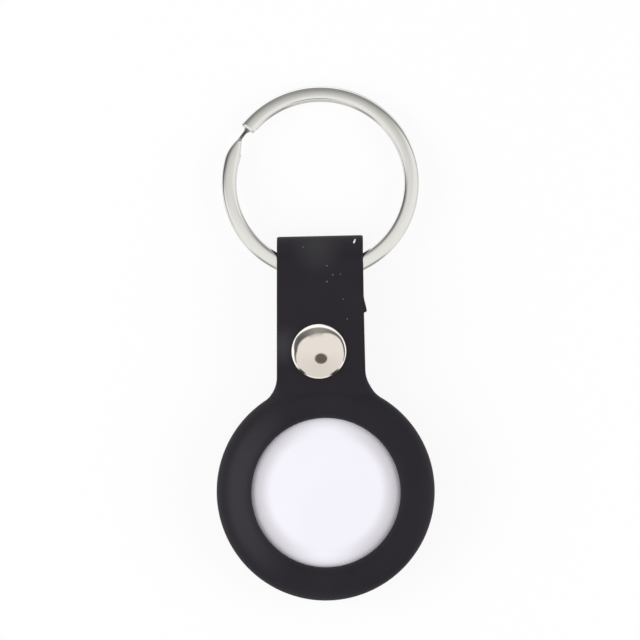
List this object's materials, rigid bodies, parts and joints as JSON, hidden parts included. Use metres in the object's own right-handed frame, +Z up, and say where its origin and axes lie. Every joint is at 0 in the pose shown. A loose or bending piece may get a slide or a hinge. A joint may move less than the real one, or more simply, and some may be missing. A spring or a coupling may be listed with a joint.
{
  "type": "tracker tag holder",
  "caption": "Silicone key holder for a round tracker tag: a windowed pocket, a strap folded through a split key ring and closed by a press stud, with the tag inside.",
  "frame": {"origin": "middle of the whole length and width, on the surface that the holder lies on", "axes": "+Z up out of the holder's front, +Y along the strap towards the key ring, +X to the right seen from the front"},
  "size_m": [0.0386, 0.0914, 0.0109],
  "materials": {
    "black_silicone": "matte moulded silicone",
    "polished_nickel": "polished nickel plate",
    "snap_nickel": "nickel plate",
    "spring_steel": "drawn wire",
    "ring_steel": "tumbled nickel-plated spring steel",
    "white_shell": "glossy moulded white",
    "white_base": "satin moulded white",
    "board_green": "solder mask",
    "tin_shield": "tinned sheet",
    "chip_black": "moulded epoxy",
    "yoke_steel": "plated steel",
    "magnet_nickel": "nickel plate",
    "coil_copper": "enamelled wire",
    "antenna_copper": "plated copper strip",
    "gold_contact": "gold plate",
    "cell_steel": "satin stainless",
    "cell_gasket": "moulded polypropylene",
    "cover_steel": "satin stainless",
    "seal_rubber": "moulded rubber"
  },
  "bodies": {
    "holder": {"holder_body": "black_silicone", "rear_lip": "black_silicone", "snap_cap": "polished_nickel", "snap_socket": "snap_nickel", "snap_spring": "spring_steel"},
    "tail": {"strap_tail": "black_silicone", "snap_stud": "snap_nickel", "snap_post": "snap_nickel"},
    "ring": {"split_ring": "ring_steel"},
    "tag": {"tag_front_shell": "white_shell", "tag_base": "white_base", "main_board": "board_green", "shield_can": "tin_shield", "board_chips": "chip_black", "magnet_yoke": "yoke_steel", "speaker_magnet": "magnet_nickel", "voice_coil": "coil_copper", "antenna": "antenna_copper", "negative_contact": "gold_contact", "positive_contacts": "gold_contact", "coin_cell_can": "cell_steel", "coin_cell_gasket": "cell_gasket", "coin_cell_cap": "cell_steel"},
    "cover": {"battery_cover": "cover_steel", "cover_seal": "seal_rubber"}
  },
  "joints": [
    {"name": "strap_open", "type": "hinge", "parent": "holder", "child": "tail", "pos_m": [-0.00095, 0.01891, 0.005], "axis": [1, 0, 0], "range_deg": [0, 150], "deforming": ["snap_spring"]},
    {"name": "ring_swing", "type": "hinge", "parent": "holder", "child": "ring", "pos_m": [-0.00095, 0.01301, 0.005], "axis": [1, 0, 0], "range_deg": [-105, 120]},
    {"name": "tag_release", "type": "slide", "parent": "holder", "child": "tag", "axis": [0, 0, -1], "range_m": [0, 0.014], "deforming": ["rear_lip"]},
    {"name": "cover_twist", "type": "hinge", "parent": "tag", "child": "cover", "pos_m": [0, -0.02639, 0.001], "axis": [0, 0, -1], "range_deg": [0, 32]}
  ]
}
